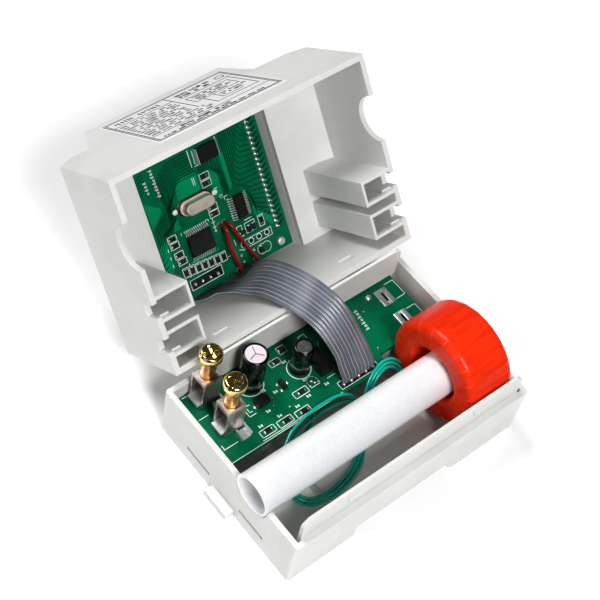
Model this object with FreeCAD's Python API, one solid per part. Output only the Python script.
import FreeCAD, Part
import math
import os

# Rail energy meter with its snap-on cover lifted off and laid beside the open base.
# Lengths are in millimetres. Every piece of the base is drawn in base coordinates: x from
# the left end, y from the near side wall, z from the back face, which is the face that
# goes on the rail. Every piece of the cover is drawn in cover coordinates: x as on the
# base, y from the side wall with the label, z from the rim towards the display.
# The finished part has its origin at the middle of the rail slot, on the back face.

Vector = FreeCAD.Vector
X_AXIS = Vector(1, 0, 0)
Y_AXIS = Vector(0, 1, 0)
Z_AXIS = Vector(0, 0, 1)

# Housing, shared by base and cover
LENGTH = 90.0
WIDTH = 61.0
WALL = 1.7
CORNER_R = 0.9
EDGE_R = 0.4

# Base
BASE_RIM = 20.4
FLOOR = 1.7
LIP_TOP = 29.2
LIP_THICK = 1.25
LIP_GAP = 0.4
LIP_END = 3.0
LIP_CHAMFER = 2.0
LIP_ROOT = 5.2
FAR_LIP_START = 15.0
SNAP_END = 21.0
SNAP_LENGTH = 4.6
SNAP_HEIGHT = 0.7
SNAP_BELOW_TOP = 1.2
SNAP_TALL = 2.1
SLIT_LENGTH = 10.2
SLIT_TALL = 0.6
SLIT_Z = 5.9
SLIT_OFFSET = 12.4

# Rail slot in the back face
RAIL_WIDTH = 35.0
RAIL_PLAY = 0.3
SLOT_HEIGHT = 5.2
SLOT_ENTRY = 2.5
HOOK_REACH = 1.4
HOOK_BEVEL = 3.1
HOOK_TIP_Z = 3.3
HOOK_POCKET = 1.5

# Latch that grips the left edge of the rail
LATCH_WIDTH = 10.2
LATCH_THICK = 2.5
LATCH_TAB = 3.0
LATCH_GRIP = 1.5
LATCH_NOSE_Z = 3.9
LATCH_TRAVEL = 4.0
LATCH_GUIDE = 0.8
LATCH_GUIDE_Z = 0.9
LATCH_ARM = 1.6
SLIDE_GAP = 0.1

# Current path: tube through the ring transformer
TUBE_R = 6.8
TUBE_WALL = 1.0
TUBE_NEARER = 0.75
TUBE_SEAT_GAP = 0.2
RING_R = 17.5
RING_HOLE_R = 8.8
RING_THICK = 17.3
RING_END = 4.2
RING_LIP_GAP = 0.1
RING_ABOVE_TUBE = 0.7
RING_EDGE_R = 2.6
RING_HOLE_EDGE_R = 1.6
CRADLE_IN = (4.0, 11.5)
CRADLE_THICK = 1.5
CRADLE_HEIGHT = 10.0
CRADLE_HALF = 11.0
CRADLE_GAP = 0.1

# Power board
BOARD_THICK = 1.6
POWER_TOP = 15.0
POWER_LEFT = 2.0
POWER_RIGHT_IN = 4.1
POWER_NEAR = 33.0
POWER_FAR_IN = 2.0
NOTCH_END_GAP = 4.9
NOTCH_SIDE_GAP = 0.15
BOSS_R = 2.4
BOSS_HOLE_R = 1.1
BOSS_LEFT = 19.0
BOSS_NEAR_IN = 4.0
BOSS_FAR_IN = 4.4
BOSS_RIGHT_IN = 17.9
BOSS_NOTCH_IN = (15.4, 3.5)
PAD_SLOT_IN = 6.8
PAD_SLOT_FAR_IN = (15.9, 6.2)
PAD_SLOT_LENGTH = 3.6
PAD_SLOT_WIDTH = 0.9

# Screw terminals
TERMINAL_X = 10.3
TERMINAL_FAR_IN = (14.9, 3.6)
TERMINAL_NAMES = ("near", "far")
CAGE_SIDE = 6.3
CAGE_WALL = 0.7
CAGE_FLOOR = 1.0
CAGE_ROOF = 1.8
CAGE_HEIGHT = 12.9
BAR_THICK = 1.2
BAR_TIP = 2.4
BAR_GAP = 0.05
LUG_PLATE = 0.7
LUG_WIDTH = 3.4
SCREW_R = 2.2
SCREW_GAP = 0.05
SCREW_HEAD_R = 3.7
SCREW_HEAD_TALL = 2.5
SCREW_OUT = 9.3
SCREW_TIP = 1.9
SCREW_SLOT = 0.9
SCREW_SLOT_DEEP = 1.0
SCREW_CROSS = 4.4

# Parts on the power board, placed by x and by their distance from its far edge
CAN_LARGE_R = 4.0
CAN_LARGE_TALL = 16.6
CAN_LARGE_IN = (24.2, 7.5)
CAN_SMALL_R = 3.15
CAN_SMALL_TALL = 12.2
CAN_SMALL_IN = (39.9, 11.6)
CAN_RIM = 0.55
CAN_GROOVE = 0.3
RECTIFIER_X = (43.5, 47.7)
RECTIFIER_FAR_IN = (18.0, 9.2)
RECTIFIER_TALL = 3.0

# Cover
COVER_SHOULDER_EDGE = 28.4
COVER_SHOULDER = 31.4
COVER_FRONT = 48.0
SHOULDER_LEFT = 5.7
SHOULDER_RIGHT_IN = 6.0
NOSE_FOOT_LEFT = 11.85
NOSE_TOP_LEFT = 19.3
NOSE_TOP_RIGHT_IN = 20.9
NOSE_FOOT_RIGHT_IN = 18.5
WELL_LEFT = 20.9
COVER_TILT = 52.5
COVER_SHIFT = 2.0
COVER_REST_GAP = 0.1
COVER_NOTCH_R = 7.3
SNAP_SLOT_MORE = 0.3

# Terminal chambers moulded inside the cover
CHAMBER_FAR_IN = (20.6, 9.5)
CHAMBER_HALF = 4.05
CHAMBER_WALL = 0.9
CHAMBER_LEFT = 12.6
CHAMBER_RIGHT_IN = 12.8
WIRE_NOTCH = 4.4
WIRE_NOTCH_DEEP = 5.0
GUIDE_RIB = 0.8
GUIDE_RIB_LONG = 3.2
DRIVER_HOLE_R = 3.0

# Display stack in the cover, from the board towards the front
DISPLAY_Z = 31.0
DISPLAY_LEFT = 21.3
DISPLAY_RIGHT_IN = 23.1
DISPLAY_NEAR = 3.0
DISPLAY_FAR_IN = 4.0
DISPLAY_CUT_TALL = 13.0
DISPLAY_CUT_LOW = 7.0
DISPLAY_CUT_IN = 5.9
DISPLAY_CUT_FOOT = 6.7
POST_R = 2.2
POST_NEAR_LEFT = (24.2, 6.2)
POST_NEAR_RIGHT_IN = (2.7, 6.0)
POST_FAR_RIGHT_IN = (4.2, 2.6)
POST_FAR_LEFT_IN = (29.6, 6.0)
WINDOW_LEFT = 36.5
WINDOW_RIGHT_IN = 6.4
WINDOW_NEAR = 11.5
WINDOW_FAR_IN = 6.5
LENS_LEDGE = 1.2
LENS_THICK = 1.0
LENS_GAP = 0.1
GLASS_LEFT = 34.0
GLASS_RIGHT_IN = 4.5
GLASS_NEAR = 9.4
GLASS_FAR_IN = 5.2
GLASS_THICK = 2.8
GLASS_LEDGE = 2.0
GLASS_BELOW_FRONT = 0.1
LIGHT_THICK = 3.4
LIGHT_INSET = 1.0
LIGHT_LEG = 1.6
PIN_COUNT = 21
PIN_PAST_GLASS = 0.7
PIN_NEAR = 13.6
PIN_FAR_IN = 7.9
PIN_SIDE = 0.5
PIN_STUB = 1.3
HEADER_HOLE_COUNT = 4
HEADER_HOLE_PITCH = 3.1
HEADER_HOLES_IN = 4.2
HEADER_HOLES_FAR_IN = 7.5
HEADER_HOLE_R = 0.5

# Small parts on the display board: centre, size across x and y, height off the board.
# They are placed by x and by their distance from the board's far edge.
CHIP_LEAD = 0.35
CONTROLLER_IN = (35.3, 15.4)
CONTROLLER_SIZE = (9.2, 7.8, 1.9)
CONTROLLER_LEAD_COUNT = 12
METER_CHIP_IN = (14.9, 19.6)
METER_CHIP_SIZE = (4.3, 8.5, 1.6)
METER_CHIP_LEAD_COUNT = 10
LEAD_REACH = 1.3
CRYSTAL_IN = (38.2, 27.2)
CRYSTAL_SIZE = (11.4, 4.8)
CRYSTAL_TALL = 3.6
CRYSTAL_RIM = 0.5
MEMORY_IN = (46.6, 40.7)
MEMORY_SIZE = (7.4, 5.2, 2.0)
CHIP_ROW_X = (27.9, 41.8)
CHIP_ROW_COUNT = 7
CHIP_ROW_FAR_IN = (8.5, 7.3)
CHIP_LONG = 2.0
CHIP_WIDE = 1.2
CHIP_TALL = 0.6
SIDE_CHIPS = ((27.0, 20.4), (27.2, 18.1), (27.6, 14.8), (28.0, 12.4))
LOOSE_CHIPS = ((43.3, 33.8), (43.3, 31.4), (43.4, 23.6), (43.3, 21.4), (50.6, 11.4))
UPRIGHT_CHIPS = ((53.2, 11.5), (55.0, 11.6), (58.2, 12.4), (55.3, 3.3))
BOARD_SCREW_R = 1.5
BOARD_SCREW_TALL = 1.1
BACKLIGHT_WIRE_R = 0.6

# Routes of the two red wires: x, distance from the board's far edge, height off the board
BACKLIGHT_ROUTES = (
    (
        (43.7, 17.4, 0.0),
        (43.7, 17.4, 3.6),
        (43.0, 10.6, 4.2),
        (44.2, 4.2, 3.6),
        (45.4, 0.8, 2.2),
        (45.4, 0.8, 0.0),
    ),
    (
        (45.4, 17.6, 0.0),
        (45.4, 17.6, 3.6),
        (47.4, 10.8, 4.2),
        (50.2, 5.0, 3.4),
        (52.1, 1.4, 2.2),
        (52.1, 1.4, 0.0),
    ),
)

# Small parts on the power board: x, and distance from its near or far edge
NEAR_CHIPS_IN = ((19.0, 2.9), (25.6, 2.4), (32.0, 2.0), (35.4, 7.6))
FAR_CHIPS_IN = ((35.6, 6.0), (39.7, 3.4))
SMALL_TRANSISTOR_IN = (32.2, 12.6)
SMALL_TRANSISTOR_SIZE = (1.4, 2.9, 1.1)
DIODE_IN = (23.3, 14.8)
DIODE_SIZE = (4.4, 2.5, 2.0)

# Ribbon between the boards
RIBBON_WIDTH = 12.7
RIBBON_THICK = 0.9
RIBBON_STEP = 2.4
HEADER_LONG = 13.4
HEADER_DEEP = 3.0
HEADER_TALL = 2.6
RIBBON_COVER_ROUTE = (
    (32.9, 56.2, 34.0),
    (32.9, 58.4, 34.0),
    (33.4, 58.1, 30.6),
    (35.6, 56.8, 24.4),
)
RIBBON_BASE_ROUTE = (
    (44.4, 75.4, 27.0),
    (45.6, 64.0, 34.4),
    (47.9, 53.4, 35.9),
    (49.8, 46.6, 33.0),
    (51.3, 41.0, 27.4),
    (52.6, 37.8, 21.2),
    (53.5, 35.6, 17.4),
    (53.5, 35.6, 15.0),
)
RIBBON_COVER_WIDTH = ((1, 0, 0), (1, 0, 0), (1, 0, 0), (0.97, 0.0, -0.24))
RIBBON_BASE_WIDTH = (
    (0.88, 0.22, 0.43),
    (0.89, 0.28, 0.36),
    (0.92, 0.31, 0.24),
    (0.94, 0.27, 0.22),
    (0.96, 0.24, 0.10),
    (0.99, 0.08, 0.10),
    (1, 0, 0),
    (1, 0, 0),
)

# Lead of the ring transformer: its loose loops lie on the raised floor
LEAD_R = 0.55
LOOPS_AT = (31.8, 22.9)
LOOPS_HALF = (17.8, 9.6)
LOOPS_TURN = 23.2
LOOPS_WIDE = 2.8
LOOPS_TALL = 2.2
LEAD_ROUTE = (
    (69.2, 31.8, 12.0),
    (65.8, 33.5, 12.3),
    (61.6, 34.6, 11.6),
    (56.8, 33.8, 10.2),
    (52.4, 31.4, 8.6),
    (49.2, 29.8, 8.0),
)

# Label on the side wall of the cover
LABEL_X = (22.0, 67.8)
LABEL_Z = (8.5, 44.4)
LABEL_THICK = 0.15


# Derived places
RAIL_LEFT = (LENGTH - RAIL_WIDTH) / 2
SLOT_LEFT = RAIL_LEFT - SLOT_ENTRY
POCKET_RIGHT = RAIL_LEFT + RAIL_WIDTH + RAIL_PLAY
HOOK_TIP = POCKET_RIGHT - HOOK_REACH
HOOK_ROOT = HOOK_TIP + HOOK_BEVEL
RAISED_FLOOR = SLOT_HEIGHT + FLOOR
LIP_OUT = WALL + LIP_GAP
LIP_IN = LIP_OUT + LIP_THICK
SNAP_X = (SNAP_END, LENGTH - SNAP_END)
RING_X = LENGTH - RING_END - RING_THICK
RING_Y = LIP_IN + RING_R + RING_LIP_GAP
RING_Z = BASE_RIM + RING_ABOVE_TUBE
TUBE_Y = RING_Y - TUBE_NEARER
CRADLE_X = (RING_X + CRADLE_IN[0], RING_X + CRADLE_IN[1])
POWER_X = (POWER_LEFT, LENGTH - POWER_RIGHT_IN)
POWER_Y = (POWER_NEAR, WIDTH - POWER_FAR_IN)
RING_HALF_AT_BOARD = math.sqrt(RING_R ** 2 - (RING_Z - POWER_TOP) ** 2)
POWER_NOTCH_X = RING_X - NOTCH_END_GAP
POWER_NOTCH_Y = RING_Y + RING_HALF_AT_BOARD + NOTCH_SIDE_GAP
BOSSES = (
    (BOSS_LEFT, POWER_Y[0] + BOSS_NEAR_IN),
    (BOSS_LEFT, POWER_Y[1] - BOSS_FAR_IN),
    (POWER_X[1] - BOSS_RIGHT_IN, POWER_Y[1] - BOSS_FAR_IN),
    (POWER_X[1] - BOSS_NOTCH_IN[0], POWER_NOTCH_Y + BOSS_NOTCH_IN[1]),
)
PAD_SLOT_X = POWER_X[1] - PAD_SLOT_IN
PAD_SLOT_Y = [POWER_Y[1] - from_far for from_far in PAD_SLOT_FAR_IN]
TERMINAL_Y = [POWER_Y[1] - from_far for from_far in TERMINAL_FAR_IN]
CAN_LARGE_AT = (CAN_LARGE_IN[0], POWER_Y[1] - CAN_LARGE_IN[1])
CAN_SMALL_AT = (CAN_SMALL_IN[0], POWER_Y[1] - CAN_SMALL_IN[1])
RECTIFIER_Y = [POWER_Y[1] - from_far for from_far in RECTIFIER_FAR_IN]
POWER_CHIPS = [(x, POWER_Y[0] + from_near) for x, from_near in NEAR_CHIPS_IN]
POWER_CHIPS += [(x, POWER_Y[1] - from_far) for x, from_far in FAR_CHIPS_IN]
SMALL_TRANSISTOR_AT = (SMALL_TRANSISTOR_IN[0], POWER_Y[0] + SMALL_TRANSISTOR_IN[1])
DIODE_AT = (DIODE_IN[0], POWER_Y[1] - DIODE_IN[1])
SHOULDER_RIGHT = LENGTH - SHOULDER_RIGHT_IN
NOSE_TOP_RIGHT = LENGTH - NOSE_TOP_RIGHT_IN
NOSE_FOOT_RIGHT = LENGTH - NOSE_FOOT_RIGHT_IN
CHAMBER_Y = [WIDTH - from_far for from_far in CHAMBER_FAR_IN]
CHAMBER_RIGHT = LENGTH - CHAMBER_RIGHT_IN
DISPLAY_X = (DISPLAY_LEFT, LENGTH - DISPLAY_RIGHT_IN)
DISPLAY_Y = (DISPLAY_NEAR, WIDTH - DISPLAY_FAR_IN)
POSTS = (
    POST_NEAR_LEFT,
    (DISPLAY_X[1] - POST_NEAR_RIGHT_IN[0], POST_NEAR_RIGHT_IN[1]),
    (DISPLAY_X[1] - POST_FAR_RIGHT_IN[0], DISPLAY_Y[1] - POST_FAR_RIGHT_IN[1]),
    (POST_FAR_LEFT_IN[0], DISPLAY_Y[1] - POST_FAR_LEFT_IN[1]),
)
WINDOW_X = (WINDOW_LEFT, DISPLAY_X[1] - WINDOW_RIGHT_IN)
WINDOW_Y = (WINDOW_NEAR, DISPLAY_Y[1] - WINDOW_FAR_IN)
GLASS_X = (GLASS_LEFT, DISPLAY_X[1] - GLASS_RIGHT_IN)
GLASS_Y = (GLASS_NEAR, DISPLAY_Y[1] - GLASS_FAR_IN)
PIN_X = GLASS_X[1] + PIN_PAST_GLASS
PIN_Y = (PIN_NEAR, DISPLAY_Y[1] - PIN_FAR_IN)
HEADER_HOLES_Y = DISPLAY_Y[1] - HEADER_HOLES_FAR_IN
HEADER_HOLES_X = [PIN_X - HEADER_HOLES_IN - HEADER_HOLE_PITCH * place for place in range(HEADER_HOLE_COUNT)]
CONTROLLER_AT = (CONTROLLER_IN[0], DISPLAY_Y[1] - CONTROLLER_IN[1])
METER_CHIP_AT = (DISPLAY_X[1] - METER_CHIP_IN[0], DISPLAY_Y[1] - METER_CHIP_IN[1])
CRYSTAL_AT = (CRYSTAL_IN[0], DISPLAY_Y[1] - CRYSTAL_IN[1])
MEMORY_AT = (MEMORY_IN[0], DISPLAY_Y[1] - MEMORY_IN[1])
CHIP_ROW_Y = [DISPLAY_Y[1] - from_far for from_far in CHIP_ROW_FAR_IN]
MIDDLE_Y = WIDTH / 2
POWER_UNDER = POWER_TOP - BOARD_THICK
CAGE_TOP = POWER_TOP + CAGE_HEIGHT
BAR_TOP = POWER_TOP + CAGE_FLOOR + BAR_THICK
SNAP_Z = LIP_TOP - SNAP_BELOW_TOP - SNAP_TALL
BOARD_BACK = DISPLAY_Z + BOARD_THICK
FRONT_INSIDE = COVER_FRONT - WALL
GLASS_FRONT = FRONT_INSIDE - GLASS_BELOW_FRONT
GLASS_BACK = GLASS_FRONT - GLASS_THICK


def block(low, high):
    """Box between two opposite corners."""
    return Part.makeBox(high[0] - low[0], high[1] - low[1], high[2] - low[2], Vector(*low))


def prism(points, sweep):
    """Straight extrusion of a closed outline with straight sides."""
    corners = [Vector(*point) for point in points]
    return Part.Face(Part.makePolygon(corners + corners[:1])).extrude(Vector(*sweep))


def rod(start, radius, length, axis):
    """Round bar from its start point along an axis."""
    return Part.makeCylinder(radius, length, Vector(*start), axis)


def merged(shapes):
    """One solid from several that touch or overlap."""
    return shapes[0].multiFuse(shapes[1:]).removeSplitter()


def straight_edges(shape, axis):
    """Straight edges of a shape that run along an axis."""
    found = []
    for edge in shape.Edges:
        if isinstance(edge.Curve, Part.Line) or isinstance(edge.Curve, Part.LineSegment):
            if abs(abs(edge.tangentAt(edge.FirstParameter).dot(axis)) - 1) < 1e-6:
                found.append(edge)
    return found


def stadium(centre, length, width, depth):
    """Flat-sided bar with round ends, long side along x, extruded along z."""
    half = length / 2 - width / 2
    x, y, z = centre
    body = block((x - half, y - width / 2, z), (x + half, y + width / 2, z + depth))
    ends = [rod((x + side * half, y, z), width / 2, depth, Z_AXIS) for side in (-1, 1)]
    return merged([body] + ends)


def turned(profile, centre, axis):
    """Full revolve of an outline about an axis through a point."""
    return Part.Face(profile).revolve(Vector(*centre), axis, 360)


def slide_profile(x_low, x_high, gap):
    """Latch section with its two side guides, larger all round by a gap."""
    half = LATCH_WIDTH / 2 + gap
    wide = half + LATCH_GUIDE
    body = block((x_low, MIDDLE_Y - half, -gap), (x_high, MIDDLE_Y + half, LATCH_THICK + gap))
    guide_low = LATCH_GUIDE_Z - gap
    guide_high = LATCH_GUIDE_Z + LATCH_GUIDE + gap
    return body, guide_low, guide_high, wide


def base_lip(low):
    """Inner lip along the near side, which the cover's side wall slides over."""
    root = BASE_RIM - LIP_ROOT
    section = prism(
        (
            (0, WALL - EDGE_R, root),
            (0, LIP_IN, root + LIP_THICK),
            (0, LIP_IN, LIP_TOP),
            (0, LIP_OUT + EDGE_R, LIP_TOP),
            (0, LIP_OUT, LIP_TOP - 2 * EDGE_R),
            (0, LIP_OUT, BASE_RIM),
            (0, WALL - EDGE_R, BASE_RIM),
        ),
        (LENGTH, 0, 0),
    )
    high = LENGTH - LIP_END
    ends = prism(
        (
            (low, 0, root),
            (low, 0, LIP_TOP - LIP_CHAMFER),
            (low + LIP_CHAMFER, 0, LIP_TOP),
            (high - LIP_CHAMFER, 0, LIP_TOP),
            (high, 0, LIP_TOP - LIP_CHAMFER),
            (high, 0, root),
        ),
        (0, WIDTH, 0),
    )
    lip = section.common(ends)
    bumps = [snap_bump(x) for x in SNAP_X]
    return merged([lip] + bumps)


def snap_bump(x):
    """Wedge on the lip that clicks into a pocket of the cover."""
    inner = LIP_OUT + EDGE_R
    outer = LIP_OUT - SNAP_HEIGHT
    third = SNAP_TALL / 3
    return prism(
        (
            (x - SNAP_LENGTH / 2, inner, SNAP_Z),
            (x - SNAP_LENGTH / 2, LIP_OUT, SNAP_Z),
            (x - SNAP_LENGTH / 2, outer, SNAP_Z + third),
            (x - SNAP_LENGTH / 2, outer, SNAP_Z + 2 * third),
            (x - SNAP_LENGTH / 2, LIP_OUT, SNAP_Z + SNAP_TALL),
            (x - SNAP_LENGTH / 2, inner, SNAP_Z + SNAP_TALL),
        ),
        (SNAP_LENGTH, 0, 0),
    )


def rail_bridge():
    """Raised floor over the rail slot, before the slot is cut."""
    return prism(
        (
            (SLOT_LEFT - WALL, 0, 0),
            (SLOT_LEFT - WALL, 0, RAISED_FLOOR),
            (POCKET_RIGHT + WALL, 0, RAISED_FLOOR),
            (POCKET_RIGHT + WALL, 0, HOOK_TIP_Z + HOOK_POCKET),
            (HOOK_ROOT + WALL, 0, HOOK_TIP_Z),
            (HOOK_ROOT + WALL, 0, 0),
        ),
        (0, WIDTH, 0),
    )


def rail_slot():
    """Space for the rail, with the undercut that hooks over its right edge."""
    below = -WALL
    beyond = 2 * WALL
    return prism(
        (
            (SLOT_LEFT, -WALL, below),
            (SLOT_LEFT, -WALL, SLOT_HEIGHT),
            (POCKET_RIGHT, -WALL, SLOT_HEIGHT),
            (POCKET_RIGHT, -WALL, SLOT_HEIGHT - HOOK_POCKET),
            (HOOK_TIP, -WALL, HOOK_TIP_Z),
            (HOOK_ROOT, -WALL, 0),
            (HOOK_ROOT, -WALL, below),
        ),
        (0, WIDTH + beyond, 0),
    )


def latch_tunnel():
    """Raised cover of the latch channel and the channel that is cut from it."""
    body, guide_low, guide_high, wide = slide_profile(-WALL, SLOT_LEFT + WALL, SLIDE_GAP)
    roof = LATCH_NOSE_Z + SLIDE_GAP + FLOOR
    side = wide + FLOOR
    tunnel = block((0, MIDDLE_Y - side, 0), (SLOT_LEFT, MIDDLE_Y + side, roof))
    grooves = block(
        (WALL, MIDDLE_Y - wide, guide_low),
        (SLOT_LEFT + WALL, MIDDLE_Y + wide, guide_high),
    )
    nose_room = block(
        (SLOT_LEFT - LATCH_TRAVEL - 2 * SLIDE_GAP, MIDDLE_Y - LATCH_WIDTH / 2 - SLIDE_GAP, 0),
        (SLOT_LEFT + WALL, MIDDLE_Y + LATCH_WIDTH / 2 + SLIDE_GAP, LATCH_NOSE_Z + SLIDE_GAP),
    )
    return tunnel, merged([body, grooves, nose_room])


def ring_cradle():
    """Two ribs with a hollow top edge that carry the ring transformer."""
    ribs = []
    for x in CRADLE_X:
        low = (x, RING_Y - CRADLE_HALF, FLOOR - EDGE_R)
        high = (x + CRADLE_THICK, RING_Y + CRADLE_HALF, CRADLE_HEIGHT)
        ribs.append(block(low, high))
    seat = rod((0, RING_Y, RING_Z), RING_R + CRADLE_GAP, LENGTH, X_AXIS)
    return [rib.cut(seat) for rib in ribs]


def base_housing():
    """Moulded base: open box, rail slot, latch channel, lips, cradle and bosses."""
    outer = block((0, 0, 0), (LENGTH, WIDTH, BASE_RIM))
    outer = outer.makeFillet(CORNER_R, straight_edges(outer, Z_AXIS))
    cavity = block((WALL, WALL, FLOOR), (LENGTH - WALL, WIDTH - WALL, BASE_RIM + WALL))
    shell = outer.cut(cavity)
    tunnel, channel = latch_tunnel()
    near_lip = base_lip(LIP_END)
    far_lip = base_lip(FAR_LIP_START).mirror(Vector(0, MIDDLE_Y, 0), Y_AXIS)
    bosses = []
    for x, y in BOSSES:
        bosses.append(rod((x, y, FLOOR - EDGE_R), BOSS_R, POWER_UNDER - FLOOR + EDGE_R, Z_AXIS))
    body = merged([shell, rail_bridge(), tunnel, near_lip, far_lip] + ring_cradle() + bosses)
    cuts = [rail_slot(), channel]
    notch_r = TUBE_R + TUBE_SEAT_GAP
    cuts.append(rod((-WALL, TUBE_Y, BASE_RIM), notch_r, LENGTH + 2 * WALL, X_AXIS))
    for x, y in BOSSES:
        cuts.append(rod((x, y, RAISED_FLOOR), BOSS_HOLE_R, POWER_UNDER - FLOOR, Z_AXIS))
    for side in (-1, 1):
        y = MIDDLE_Y + side * SLIT_OFFSET
        low = (-WALL, y - SLIT_LENGTH / 2, SLIT_Z - SLIT_TALL / 2)
        high = (2 * WALL, y + SLIT_LENGTH / 2, SLIT_Z + SLIT_TALL / 2)
        cuts.append(block(low, high))
    return body.cut(Part.makeCompound(cuts))


def din_latch():
    """Sliding latch with a pull tab outside, a bevelled nose and two springy side arms."""
    nose_end = RAIL_LEFT + LATCH_GRIP
    body, guide_low, guide_high, wide = slide_profile(-LATCH_TAB, nose_end - LATCH_GRIP, 0)
    half = LATCH_WIDTH / 2
    nose = prism(
        (
            (SLOT_LEFT, MIDDLE_Y - half, 0),
            (SLOT_LEFT, MIDDLE_Y - half, LATCH_NOSE_Z),
            (nose_end, MIDDLE_Y - half, LATCH_NOSE_Z),
            (nose_end, MIDDLE_Y - half, LATCH_NOSE_Z - EDGE_R),
            (nose_end - LATCH_THICK, MIDDLE_Y - half, 0),
        ),
        (0, LATCH_WIDTH, 0),
    )
    guide_start = WALL + LATCH_TRAVEL + SLIDE_GAP
    guides = block(
        (guide_start, MIDDLE_Y - wide, guide_low),
        (SLOT_LEFT, MIDDLE_Y + wide, guide_high),
    )
    windows = []
    for side in (-1, 1):
        y = MIDDLE_Y + side * (half - LATCH_ARM)
        low = (guide_start, min(y, y - side * LATCH_ARM), -FLOOR)
        high = (SLOT_LEFT - LATCH_TRAVEL, max(y, y - side * LATCH_ARM), LATCH_THICK + FLOOR)
        windows.append(block(low, high))
    return merged([body, nose, guides]).cut(Part.makeCompound(windows))


def cable_guide_tube():
    """Thin tube that leads the load wire through the ring."""
    outer = rod((0, TUBE_Y, BASE_RIM), TUBE_R, LENGTH, X_AXIS)
    inner = rod((0, TUBE_Y, BASE_RIM), TUBE_R - TUBE_WALL, LENGTH, X_AXIS)
    return outer.cut(inner)


def current_transformer():
    """Taped ring core: a band section with soft corners, revolved about its own axis."""
    ends = (RING_X, RING_X + RING_THICK)
    out, hole = RING_Z + RING_R, RING_Z + RING_HOLE_R
    big, small = RING_EDGE_R, RING_HOLE_EDGE_R
    section = [
        run((ends[0] + small, hole), (ends[1] - small, hole)),
        bend((ends[1] - small, hole + small), small, -90),
        run((ends[1], hole + small), (ends[1], out - big)),
        bend((ends[1] - big, out - big), big, 0),
        run((ends[1] - big, out), (ends[0] + big, out)),
        bend((ends[0] + big, out - big), big, 90),
        run((ends[0], out - big), (ends[0], hole + small)),
        bend((ends[0] + small, hole + small), small, 180),
    ]
    return turned(Part.Wire(section), (0, RING_Y, RING_Z), X_AXIS)


def run(start, end):
    """Straight edge of the ring's section, in the upright plane through its axis."""
    return Part.makeLine(Vector(start[0], RING_Y, start[1]), Vector(end[0], RING_Y, end[1]))


def bend(centre, radius, start):
    """Quarter arc of the ring's section, from a start angle in degrees."""
    places = []
    for degrees in (start, start + 45, start + 90):
        angle = math.radians(degrees)
        x = centre[0] + radius * math.cos(angle)
        places.append(Vector(x, RING_Y, centre[1] + radius * math.sin(angle)))
    return Part.Arc(*places).toShape()


def power_board():
    """Circuit board in the base, notched around the ring."""
    outline = (
        (POWER_X[0], POWER_Y[0], POWER_UNDER),
        (POWER_NOTCH_X, POWER_Y[0], POWER_UNDER),
        (POWER_NOTCH_X, POWER_NOTCH_Y, POWER_UNDER),
        (POWER_X[1], POWER_NOTCH_Y, POWER_UNDER),
        (POWER_X[1], POWER_Y[1], POWER_UNDER),
        (POWER_X[0], POWER_Y[1], POWER_UNDER),
    )
    plate = prism(outline, (0, 0, BOARD_THICK))
    slots = []
    for y in PAD_SLOT_Y:
        slot = stadium((0, 0, -BOARD_THICK), PAD_SLOT_LENGTH, PAD_SLOT_WIDTH, 3 * BOARD_THICK)
        slot.rotate(Vector(0, 0, 0), Z_AXIS, 90)
        slot.translate(Vector(PAD_SLOT_X, y, POWER_UNDER))
        slots.append(slot)
    return plate.cut(Part.makeCompound(slots))


def terminal_cage(y):
    """Square steel clamp, open at both ends for the wire, with a threaded roof."""
    half = CAGE_SIDE / 2
    low = (TERMINAL_X - half, y - half, POWER_TOP)
    high = (TERMINAL_X + half, y + half, CAGE_TOP)
    cage = block(low, high)
    cage = cage.makeFillet(CAGE_WALL, straight_edges(cage, X_AXIS))
    inner = half - CAGE_WALL
    window = block(
        (TERMINAL_X - CAGE_SIDE, y - inner, POWER_TOP + CAGE_FLOOR),
        (TERMINAL_X + CAGE_SIDE, y + inner, CAGE_TOP - CAGE_ROOF),
    )
    hole = rod((TERMINAL_X, y, POWER_TOP + CAGE_HEIGHT / 2), SCREW_R + SCREW_GAP, CAGE_HEIGHT, Z_AXIS)
    return cage.cut(Part.makeCompound([window, hole]))


def terminal_bar(y):
    """Folded strip: tongue through the cage, upright behind it and soldered lug beside it."""
    half = CAGE_SIDE / 2 - CAGE_WALL - BAR_GAP
    cage_end = TERMINAL_X + CAGE_SIDE / 2
    upright_x = cage_end + 2 * BAR_GAP
    lug_y = y - CAGE_SIDE / 2 - 2 * BAR_GAP - LUG_WIDTH
    tongue = block(
        (TERMINAL_X - CAGE_SIDE / 2 - BAR_TIP, y - half, BAR_TOP - BAR_THICK),
        (upright_x + LUG_PLATE, y + half, BAR_TOP),
    )
    upright = block(
        (upright_x, lug_y, POWER_TOP),
        (upright_x + LUG_PLATE, y + half, BAR_TOP),
    )
    foot = block(
        (TERMINAL_X, lug_y, POWER_TOP),
        (upright_x + LUG_PLATE, lug_y + LUG_WIDTH, POWER_TOP + LUG_PLATE),
    )
    stop = block(
        (TERMINAL_X, lug_y, POWER_TOP),
        (TERMINAL_X + LUG_PLATE, lug_y + LUG_WIDTH, BAR_TOP),
    )
    return merged([tongue, upright, foot, stop])


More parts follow.
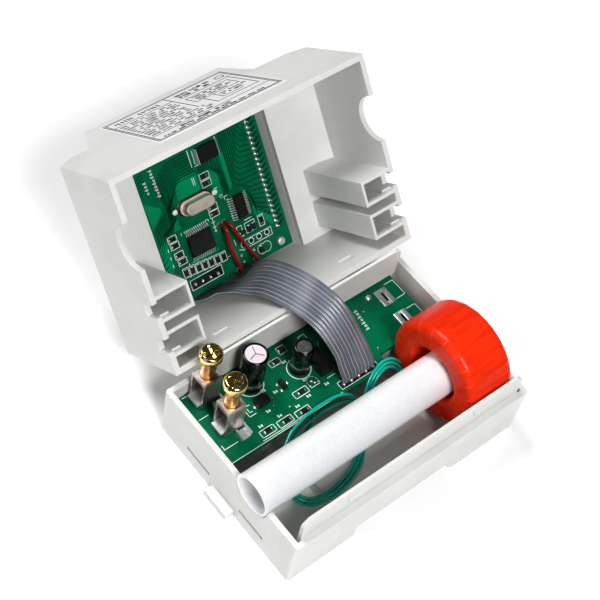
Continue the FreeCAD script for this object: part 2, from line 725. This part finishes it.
def terminal_screw(y):
    """Clamp screw backed out of its cage, with a slot crossed by a shorter slot."""
    head_low = CAGE_TOP + SCREW_OUT
    head = rod((TERMINAL_X, y, head_low), SCREW_HEAD_R, SCREW_HEAD_TALL, Z_AXIS)
    top_edge = [edge for edge in head.Edges if edge.BoundBox.ZMin > head_low + EDGE_R]
    head = head.makeFillet(SCREW_HEAD_TALL / 2, top_edge)
    tip = CAGE_TOP - SCREW_TIP
    shank = rod((TERMINAL_X, y, tip), SCREW_R, head_low - tip, Z_AXIS)
    point = [edge for edge in shank.Edges if edge.BoundBox.ZMax < tip + EDGE_R]
    shank = shank.makeChamfer(EDGE_R, point)
    floor = head_low + SCREW_HEAD_TALL - SCREW_SLOT_DEEP
    above = head_low + 2 * SCREW_HEAD_TALL
    half = SCREW_SLOT / 2
    slot = block(
        (TERMINAL_X - SCREW_HEAD_R, y - half, floor),
        (TERMINAL_X + SCREW_HEAD_R, y + half, above),
    )
    cross = block(
        (TERMINAL_X - half, y - SCREW_CROSS / 2, floor),
        (TERMINAL_X + half, y + SCREW_CROSS / 2, above),
    )
    screw = merged([head, shank]).cut(Part.makeCompound([slot, cross]))
    screw.rotate(Vector(TERMINAL_X, y, 0), Z_AXIS, 20 if y == TERMINAL_Y[0] else -12)
    return screw


def can_capacitor(centre, radius, tall):
    """Electrolytic can: crimped foot, rounded rim and a sunk top disc."""
    x, y = centre
    crimp = tall / 8
    rim = CAN_RIM
    groove = radius - CAN_GROOVE
    low = POWER_TOP
    high = POWER_TOP + tall
    sunk = high - rim / 2
    points = [
        Vector(x, y, low),
        Vector(x + radius, y, low),
        Vector(x + radius, y, low + crimp),
        Vector(x + groove, y, low + crimp + CAN_GROOVE),
        Vector(x + radius, y, low + crimp + 2 * CAN_GROOVE),
        Vector(x + radius, y, high - rim),
    ]
    curve = Part.Arc(
        Vector(x + radius, y, high - rim),
        Vector(x + radius - rim * (1 - math.sqrt(0.5)), y, high - rim * (1 - math.sqrt(0.5))),
        Vector(x + radius - rim, y, high),
    ).toShape()
    top = [
        Vector(x + radius - rim, y, high),
        Vector(x + radius - 2 * rim, y, sunk),
        Vector(x, y, sunk),
        Vector(x, y, low),
    ]
    wire = Part.Wire([Part.makePolygon(points), curve, Part.makePolygon(top)])
    return turned(wire, (x, y, low), Z_AXIS)


def bridge_rectifier():
    """Moulded rectifier with rounded upright edges."""
    top = POWER_TOP + RECTIFIER_TALL
    body = block((RECTIFIER_X[0], RECTIFIER_Y[0], POWER_TOP), (RECTIFIER_X[1], RECTIFIER_Y[1], top))
    return body.makeFillet(EDGE_R, straight_edges(body, Z_AXIS))


def seated_chip(centre, size, low):
    """Flat part on a board whose face is at low."""
    x, y = centre[0] - size[0] / 2, centre[1] - size[1] / 2
    return block((x, y, low), (x + size[0], y + size[1], low + size[2]))


def power_chips():
    """Chip resistors along the near edge of the power board."""
    return [seated_chip(at, (CHIP_LONG, CHIP_WIDE, CHIP_TALL), POWER_TOP) for at in POWER_CHIPS]


def power_semiconductors():
    """Small transistor and diode on the power board."""
    return [
        seated_chip(SMALL_TRANSISTOR_AT, SMALL_TRANSISTOR_SIZE, POWER_TOP),
        seated_chip(DIODE_AT, DIODE_SIZE, POWER_TOP),
    ]


def cover_outline(inset):
    """Side view of the cover, from rim to front, moved inwards by a wall."""
    return (
        (inset, 0),
        (inset, COVER_SHOULDER_EDGE - inset / 2),
        (SHOULDER_LEFT + inset / 4, COVER_SHOULDER - inset),
        (SHOULDER_RIGHT - inset / 4, COVER_SHOULDER - inset),
        (LENGTH - inset, COVER_SHOULDER_EDGE - inset / 2),
        (LENGTH - inset, 0),
    )


def cover_nose():
    """Raised front that carries the display, slanted at both ends."""
    foot = COVER_SHOULDER - WALL
    return prism(
        (
            (SHOULDER_LEFT + WALL, 0, foot),
            (NOSE_FOOT_LEFT, 0, COVER_SHOULDER),
            (NOSE_TOP_LEFT, 0, COVER_FRONT),
            (NOSE_TOP_RIGHT, 0, COVER_FRONT),
            (NOSE_FOOT_RIGHT, 0, COVER_SHOULDER),
            (SHOULDER_RIGHT - WALL, 0, foot),
        ),
        (0, WIDTH, 0),
    )


def display_well():
    """Pocket inside the nose: upright on the left, following the slant on the right."""
    foot = COVER_SHOULDER - 2 * WALL
    return prism(
        (
            (WELL_LEFT, WALL, foot),
            (WELL_LEFT, WALL, FRONT_INSIDE),
            (NOSE_TOP_RIGHT - WALL, WALL, FRONT_INSIDE),
            (NOSE_FOOT_RIGHT - WALL, WALL, COVER_SHOULDER),
            (NOSE_FOOT_RIGHT - WALL, WALL, foot),
        ),
        (0, WIDTH - 2 * WALL, 0),
    )


def terminal_chamber(y, side):
    """Square moulded shaft from the shoulder to the rim, with guides beside the wire notch."""
    top = COVER_SHOULDER - WALL
    if side < 0:
        inner, wall, out = CHAMBER_LEFT, CHAMBER_LEFT - CHAMBER_WALL, WALL
        guide_x = (WALL - EDGE_R, WALL + GUIDE_RIB_LONG)
    else:
        inner, wall, out = CHAMBER_RIGHT, CHAMBER_RIGHT + CHAMBER_WALL, LENGTH - WALL
        guide_x = (LENGTH - WALL - GUIDE_RIB_LONG, LENGTH - WALL + EDGE_R)
    low_x, high_x = min(inner, out + side * EDGE_R), max(inner, out + side * EDGE_R)
    shaft = block((low_x, y - CHAMBER_HALF, 0), (high_x, y + CHAMBER_HALF, top + EDGE_R))
    half = CHAMBER_HALF - CHAMBER_WALL
    hollow = block(
        (min(wall, out), y - half, -WALL),
        (max(wall, out), y + half, top),
    )
    walls = shaft.cut(hollow)
    ribs = []
    for way in (-1, 1):
        rib_y = y + way * (WIRE_NOTCH / 2 + GUIDE_RIB / 2)
        low = (guide_x[0], rib_y - GUIDE_RIB / 2, WALL)
        high = (guide_x[1], rib_y + GUIDE_RIB / 2, top + EDGE_R)
        ribs.append(block(low, high))
    return [walls] + ribs


def cover_openings():
    """Cuts through the cover: wire notches, tube notches, driver holes and window."""
    cuts = []
    cuts.append(rod((-WALL, TUBE_Y, 0), COVER_NOTCH_R, LENGTH + 2 * WALL, X_AXIS))
    for y in CHAMBER_Y:
        low = (-WALL, y - WIRE_NOTCH / 2, -WALL)
        high = (WALL + CHAMBER_WALL, y + WIRE_NOTCH / 2, WIRE_NOTCH_DEEP)
        cuts.append(block(low, high))
        low = (LENGTH - WALL - CHAMBER_WALL, y - WIRE_NOTCH / 2, -WALL)
        high = (LENGTH + WALL, y + WIRE_NOTCH / 2, WIRE_NOTCH_DEEP)
        cuts.append(block(low, high))
        left = (WALL + CHAMBER_LEFT - CHAMBER_WALL) / 2
        right = (CHAMBER_RIGHT + CHAMBER_WALL + LENGTH - WALL) / 2
        for x in (left, right):
            cuts.append(rod((x, y, COVER_SHOULDER - 2 * WALL), DRIVER_HOLE_R, 4 * WALL, Z_AXIS))
    ledge = LENS_LEDGE
    cuts.append(
        block(
            (WINDOW_X[0], WINDOW_Y[0], FRONT_INSIDE - WALL),
            (WINDOW_X[1], WINDOW_Y[1], COVER_FRONT + WALL),
        )
    )
    cuts.append(
        block(
            (WINDOW_X[0] - ledge, WINDOW_Y[0] - ledge, COVER_FRONT - LENS_THICK),
            (WINDOW_X[1] + ledge, WINDOW_Y[1] + ledge, COVER_FRONT + WALL),
        )
    )
    for x in SNAP_X:
        half = SNAP_LENGTH / 2 + SNAP_SLOT_MORE
        z_low = SNAP_Z - BASE_RIM - SNAP_SLOT_MORE
        z_high = z_low + SNAP_TALL + 2 * SNAP_SLOT_MORE
        depth = SNAP_HEIGHT - LIP_GAP + SNAP_SLOT_MORE
        cuts.append(block((x - half, WALL - depth, z_low), (x + half, 2 * WALL, z_high)))
        cuts.append(block((x - half, WIDTH - 2 * WALL, z_low), (x + half, WIDTH - WALL + depth, z_high)))
    return cuts


def cover_housing():
    """Moulded cover: shouldered shell, nose, chambers, posts and openings."""
    shell_points = [(x, 0, z) for x, z in cover_outline(0)]
    body = prism(shell_points, (0, WIDTH, 0))
    outer = merged([body, cover_nose()])
    crests = [edge for edge in straight_edges(outer, Y_AXIS) if edge.BoundBox.ZMin > WALL]
    outer = outer.makeFillet(EDGE_R, crests)
    inside_points = [(x, WALL, z) for x, z in cover_outline(WALL)]
    inside = prism(inside_points, (0, WIDTH - 2 * WALL, 0))
    shell = outer.cut(Part.makeCompound([inside, display_well()]))
    added = []
    for y in CHAMBER_Y:
        for side in (-1, 1):
            added += terminal_chamber(y, side)
    for x, y in POSTS:
        added.append(rod((x, y, BOARD_BACK), POST_R, FRONT_INSIDE + EDGE_R - BOARD_BACK, Z_AXIS))
    return merged([shell] + added).cut(Part.makeCompound(cover_openings()))


def lcd_window():
    """Clear pane in the front, flush with it."""
    reach = LENS_LEDGE - LENS_GAP
    pane = block(
        (WINDOW_X[0] - reach, WINDOW_Y[0] - reach, COVER_FRONT - LENS_THICK),
        (WINDOW_X[1] + reach, WINDOW_Y[1] + reach, COVER_FRONT),
    )
    return pane.makeFillet(EDGE_R, straight_edges(pane, Z_AXIS))


def lcd_panel():
    """Two glass plates of the display, the front one stopping short of the pins."""
    left, low, high = GLASS_X[0], GLASS_Y[0], GLASS_Y[1]
    middle = GLASS_BACK + GLASS_THICK / 2
    back = block((left, low, GLASS_BACK), (PIN_X - PIN_SIDE / 2, high, middle))
    front = block((left, low, middle), (GLASS_X[1] - GLASS_LEDGE, high, GLASS_FRONT))
    return merged([back, front])


def backlight():
    """White light block behind the glass, on four legs that stand on the board."""
    low = (GLASS_X[0] + LIGHT_INSET, GLASS_Y[0] + LIGHT_INSET, GLASS_BACK - LIGHT_THICK)
    high = (GLASS_X[1] - 2 * LIGHT_INSET, GLASS_Y[1] - LIGHT_INSET, GLASS_BACK)
    slab = block(low, high)
    legs = []
    for x in (low[0], high[0] - LIGHT_LEG):
        for y in (low[1], high[1] - LIGHT_LEG):
            top = (x + LIGHT_LEG, y + LIGHT_LEG, high[2] - LIGHT_THICK / 2)
            legs.append(block((x, y, BOARD_BACK), top))
    return merged([slab] + legs)


def display_board():
    """Circuit board in the cover, with one corner cut off and a row of open holes."""
    left, right = DISPLAY_X
    top, bottom = DISPLAY_Y
    outline = (
        (left, top, DISPLAY_Z),
        (right, top, DISPLAY_Z),
        (right, bottom, DISPLAY_Z),
        (left + DISPLAY_CUT_FOOT, bottom, DISPLAY_Z),
        (left + DISPLAY_CUT_IN, bottom - DISPLAY_CUT_LOW, DISPLAY_Z),
        (left, bottom - DISPLAY_CUT_TALL, DISPLAY_Z),
    )
    plate = prism(outline, (0, 0, BOARD_THICK))
    holes = []
    for x in HEADER_HOLES_X:
        start = (x, HEADER_HOLES_Y, DISPLAY_Z - BOARD_THICK)
        holes.append(rod(start, HEADER_HOLE_R, 3 * BOARD_THICK, Z_AXIS))
    return plate.cut(Part.makeCompound(holes))


def on_display(centre, size):
    """Flat part on the rim side of the display board."""
    return seated_chip(centre, size, DISPLAY_Z - size[2])


def leaded_chip(centre, size, leads, along_x):
    """Flat package with a row of bent leads on two sides."""
    pieces = [on_display(centre, size)]
    span = size[0] if along_x else size[1]
    pitch = (span - 2 * CHIP_LEAD) / (leads - 1)
    across = (size[1] if along_x else size[0]) / 2
    reach = LEAD_REACH + CHIP_LEAD
    for number in range(leads):
        place = -span / 2 + CHIP_LEAD + pitch * number
        for side in (-1, 1):
            far = side * (across + LEAD_REACH / 2)
            at = (centre[0] + place, centre[1] + far) if along_x else (centre[0] + far, centre[1] + place)
            lead = (CHIP_LEAD, reach, CHIP_LEAD) if along_x else (reach, CHIP_LEAD, CHIP_LEAD)
            pieces.append(on_display(at, lead))
    return merged(pieces)


def crystal_can():
    """Round-ended metal can of the crystal on its flange."""
    x, y = CRYSTAL_AT
    flange = stadium((x, y, DISPLAY_Z - CRYSTAL_RIM), CRYSTAL_SIZE[0], CRYSTAL_SIZE[1], CRYSTAL_RIM)
    can = stadium(
        (x, y, DISPLAY_Z - CRYSTAL_TALL),
        CRYSTAL_SIZE[0] - 2 * CRYSTAL_RIM,
        CRYSTAL_SIZE[1] - 2 * CRYSTAL_RIM,
        CRYSTAL_TALL,
    )
    top = [edge for edge in can.Edges if edge.BoundBox.ZMax < DISPLAY_Z - CRYSTAL_TALL + EDGE_R]
    return merged([flange, can.makeFillet(EDGE_R, top)])


def display_chips():
    """Chip resistors and capacitors on the display board."""
    flat = (CHIP_LONG, CHIP_WIDE, CHIP_TALL)
    upright = (CHIP_WIDE, CHIP_LONG, CHIP_TALL)
    far = DISPLAY_Y[1]
    chips = [on_display((x, far - from_far), flat) for x, from_far in SIDE_CHIPS + LOOSE_CHIPS]
    chips += [on_display((x, far - from_far), upright) for x, from_far in UPRIGHT_CHIPS]
    step = (CHIP_ROW_X[1] - CHIP_ROW_X[0]) / (CHIP_ROW_COUNT - 1)
    rise = (CHIP_ROW_Y[1] - CHIP_ROW_Y[0]) / (CHIP_ROW_COUNT - 1)
    for number in range(CHIP_ROW_COUNT):
        at = (CHIP_ROW_X[0] + step * number, CHIP_ROW_Y[0] + rise * number)
        chips.append(on_display(at, upright))
    return chips


def lcd_pins():
    """Row of display pins, from the glass through the board."""
    pitch = (PIN_Y[1] - PIN_Y[0]) / (PIN_COUNT - 1)
    pins = []
    for number in range(PIN_COUNT):
        y = PIN_Y[0] + pitch * number
        low = (PIN_X - PIN_SIDE / 2, y - PIN_SIDE / 2, DISPLAY_Z - PIN_STUB)
        high = (PIN_X + PIN_SIDE / 2, y + PIN_SIDE / 2, GLASS_BACK + GLASS_THICK / 2)
        pins.append(block(low, high))
    return pins


def board_screw():
    """Round-headed screw in the lower corner of the display board."""
    x, y = POSTS[2]
    head = rod((x, y, DISPLAY_Z - BOARD_SCREW_TALL), BOARD_SCREW_R, BOARD_SCREW_TALL, Z_AXIS)
    top = [edge for edge in head.Edges if edge.BoundBox.ZMax < DISPLAY_Z - BOARD_SCREW_TALL / 2]
    return head.makeFillet(BOARD_SCREW_TALL * 0.7, top)


def ribbon_header():
    """Block on the far side of the display board that the ribbon leaves."""
    x, y, z = RIBBON_COVER_ROUTE[0]
    low = (x - HEADER_LONG / 2, y - HEADER_DEEP, BOARD_BACK)
    return block(low, (x + HEADER_LONG / 2, y, BOARD_BACK + HEADER_TALL))


def rounded_route(points, radii):
    """Edges of a route: straight runs joined by tangent arcs, as large as the runs allow."""
    places = [Vector(*point) for point in points]
    edges = []
    last = places[0]
    for number in range(1, len(places) - 1):
        here = places[number]
        back = places[number - 1].sub(here)
        ahead = places[number + 1].sub(here)
        reach = 0.45 * min(back.Length, ahead.Length)
        back.normalize()
        ahead.normalize()
        half_turn = (math.pi - back.getAngle(ahead)) / 2
        radius = reach / math.tan(half_turn)
        radii.append(radius)
        start = here.add(back * reach)
        end = here.add(ahead * reach)
        inward = back.add(ahead)
        inward.normalize()
        middle = here.add(inward * (radius / math.cos(half_turn) - radius))
        edges.append(Part.LineSegment(last, start).toShape())
        edges.append(Part.Arc(start, middle, end).toShape())
        last = end
    edges.append(Part.LineSegment(last, places[-1]).toShape())
    return edges


def report_radii(name, radii):
    """Print the bends of a cord, smallest first."""
    print(name, "bend radii:", ", ".join("%.1f" % radius for radius in sorted(radii)))


def cover_placement():
    """Where the cover lies: its rim edge on the far lip, its front edge on the table."""
    angle = math.radians(COVER_TILT)
    rim_way = Vector(0, -math.cos(angle), -math.sin(angle))
    front_way = Vector(0, math.sin(angle), -math.cos(angle))
    height = WIDTH * math.sin(angle) + COVER_FRONT * math.cos(angle)
    lip_corner = Vector(0, WIDTH - LIP_OUT, LIP_TOP)
    away = (lip_corner.z - height + (WIDTH + COVER_REST_GAP) * math.sin(angle)) / math.cos(angle)
    depth = lip_corner.y + (WIDTH + COVER_REST_GAP) * math.cos(angle) + away * math.sin(angle)
    turn = FreeCAD.Rotation(X_AXIS, rim_way, front_way, "ZXY")
    return FreeCAD.Placement(Vector(COVER_SHIFT, depth, height), turn)


def ribbon_route():
    """Centre line of the ribbon and the direction of its width, in base coordinates."""
    lay = cover_placement()
    points = [lay.multVec(Vector(*point)) for point in RIBBON_COVER_ROUTE]
    points += [Vector(*point) for point in RIBBON_BASE_ROUTE]
    widths = [lay.Rotation.multVec(Vector(*way)) for way in RIBBON_COVER_WIDTH]
    widths += [Vector(*way) for way in RIBBON_BASE_WIDTH]
    return points, widths


def ribbon_cable():
    """Flat cable: a thin strip swept along its route as it turns over."""
    points, widths = ribbon_route()
    radii = []
    edges = rounded_route(points, radii)
    report_radii("ribbon", radii)
    joints = [0.0]
    for number in range(1, len(points)):
        joints.append(joints[-1] + points[number].sub(points[number - 1]).Length)
    sections = []
    travelled = 0.0
    for edge in edges:
        steps = max(1, math.ceil(edge.Length / RIBBON_STEP))
        first, last = edge.ParameterRange
        for number in range(steps):
            share = number / steps
            place = first + (last - first) * share
            sections.append((edge.valueAt(place), edge.tangentAt(place), travelled + edge.Length * share))
        travelled += edge.Length
    sections.append((edges[-1].valueAt(last), edges[-1].tangentAt(last), travelled))
    scale = joints[-1] / travelled
    rings = []
    for centre, tangent, along in sections:
        way = width_at(widths, joints, along * scale)
        across = way.sub(tangent * way.dot(tangent))
        across.normalize()
        up = tangent.cross(across)
        rings.append(strip_section(centre, across * (RIBBON_WIDTH / 2), up * (RIBBON_THICK / 2)))
    strip = joined_sections(rings)
    expected = RIBBON_WIDTH * RIBBON_THICK * travelled
    share = strip.Volume / expected
    print("ribbon length %.1f, volume over section times length %.4f" % (travelled, share))
    return strip


def joined_sections(rings):
    """Solid between four-cornered sections, with each twisted side split along a diagonal."""
    faces = [flat_face(rings[0][::-1]), flat_face(rings[-1])]
    for one, two in zip(rings, rings[1:]):
        for number in range(4):
            after = (number + 1) % 4
            faces.append(flat_face([one[number], one[after], two[after]]))
            faces.append(flat_face([one[number], two[after], two[number]]))
    return Part.Solid(Part.Shell(faces))


def flat_face(corners):
    """Flat face between corners."""
    return Part.Face(Part.makePolygon(list(corners) + [corners[0]]))


def width_at(widths, joints, along):
    """Direction of the ribbon's width at a distance along its route."""
    for number in range(1, len(joints)):
        if along <= joints[number] or number == len(joints) - 1:
            share = (along - joints[number - 1]) / (joints[number] - joints[number - 1])
            return widths[number - 1] * (1 - share) + widths[number] * share


def strip_section(centre, across, up):
    """Corners of a rectangle around a point, from half its width and half its thickness."""
    return [centre + across + up, centre - across + up, centre - across - up, centre + across - up]


def round_cable(points, radius, name):
    """Round cable along a route of runs and arcs."""
    radii = []
    edges = rounded_route(points, radii)
    report_radii(name, radii)
    path = Part.Wire(edges)
    start = edges[0].valueAt(edges[0].FirstParameter)
    heading = edges[0].tangentAt(edges[0].FirstParameter)
    section = Part.Wire(Part.Circle(start, heading, radius).toShape())
    cable = path.makePipeShell([section], True, True)
    expected = math.pi * radius ** 2 * path.Length
    share = cable.Volume / expected
    print("%s length %.1f, volume over section times length %.4f" % (name, path.Length, share))
    return cable


def lead_loops():
    """Outer shape of the loose loops of the ring's lead."""
    outer = oval_disc(LOOPS_WIDE / 2)
    inner = oval_disc(-LOOPS_WIDE / 2)
    return outer.cut(inner)


def oval_disc(grow):
    """Flat oval of the loops' size, larger or smaller all round, turned as they lie."""
    centre = Vector(LOOPS_AT[0], LOOPS_AT[1], RAISED_FLOOR)
    oval = Part.Ellipse(centre, LOOPS_HALF[0] + grow, LOOPS_HALF[1] + grow)
    disc = Part.Face(Part.Wire(oval.toShape())).extrude(Vector(0, 0, LOOPS_TALL))
    disc.rotate(centre, Z_AXIS, LOOPS_TURN)
    return disc


def backlight_wires():
    """Two short insulated wires across the display board."""
    wires = []
    for route in BACKLIGHT_ROUTES:
        points = [(x, DISPLAY_Y[1] - from_far, DISPLAY_Z - off) for x, from_far, off in route]
        wires.append(round_cable(points, BACKLIGHT_WIRE_R, "backlight wire"))
    return wires


def rating_label():
    """Thin sticker on the side wall of the cover."""
    return block((LABEL_X[0], -LABEL_THICK, LABEL_Z[0]), (LABEL_X[1], 0, LABEL_Z[1]))


def base_pieces():
    """Pieces drawn in base coordinates, by name."""
    pieces = {
        "base_housing": base_housing(),
        "din_latch": din_latch(),
        "cable_guide_tube": cable_guide_tube(),
        "current_transformer": current_transformer(),
        "power_board": power_board(),
        "capacitor_large": can_capacitor(CAN_LARGE_AT, CAN_LARGE_R, CAN_LARGE_TALL),
        "capacitor_small": can_capacitor(CAN_SMALL_AT, CAN_SMALL_R, CAN_SMALL_TALL),
        "bridge_rectifier": bridge_rectifier(),
        "power_board_chips": Part.makeCompound(power_chips()),
        "power_board_semiconductors": Part.makeCompound(power_semiconductors()),
        "ribbon_cable": ribbon_cable(),
        "ct_lead": round_cable(LEAD_ROUTE, LEAD_R, "lead"),
        "ct_lead_loops": lead_loops(),
    }
    for name, y in zip(TERMINAL_NAMES, TERMINAL_Y):
        pieces["terminal_cage_" + name] = terminal_cage(y)
        pieces["terminal_bar_" + name] = terminal_bar(y)
        pieces["terminal_screw_" + name] = terminal_screw(y)
    return pieces


def cover_pieces():
    """Pieces drawn in cover coordinates, by name."""
    wire_left, wire_right = backlight_wires()
    return {
        "cover_housing": cover_housing(),
        "lcd_window": lcd_window(),
        "lcd_panel": lcd_panel(),
        "backlight": backlight(),
        "display_board": display_board(),
        "lcd_pins": Part.makeCompound(lcd_pins()),
        "microcontroller": leaded_chip(CONTROLLER_AT, CONTROLLER_SIZE, CONTROLLER_LEAD_COUNT, True),
        "metering_chip": leaded_chip(METER_CHIP_AT, METER_CHIP_SIZE, METER_CHIP_LEAD_COUNT, False),
        "memory_chip": on_display(MEMORY_AT, MEMORY_SIZE),
        "crystal": crystal_can(),
        "display_board_chips": Part.makeCompound(display_chips()),
        "board_screw": board_screw(),
        "ribbon_header": ribbon_header(),
        "backlight_wire_left": wire_left,
        "backlight_wire_right": wire_right,
        "rating_label": rating_label(),
    }


def main():
    """Place every piece and write it to its own file."""
    os.makedirs("parts", exist_ok=True)
    to_origin = FreeCAD.Placement(Vector(-LENGTH / 2, -MIDDLE_Y, 0), FreeCAD.Rotation())
    lay = to_origin.multiply(cover_placement())
    for name, shape in base_pieces().items():
        shape.Placement = to_origin.multiply(shape.Placement)
        shape.exportStep("parts/" + name + ".step")
    for name, shape in cover_pieces().items():
        shape.Placement = lay.multiply(shape.Placement)
        shape.exportStep("parts/" + name + ".step")


main()
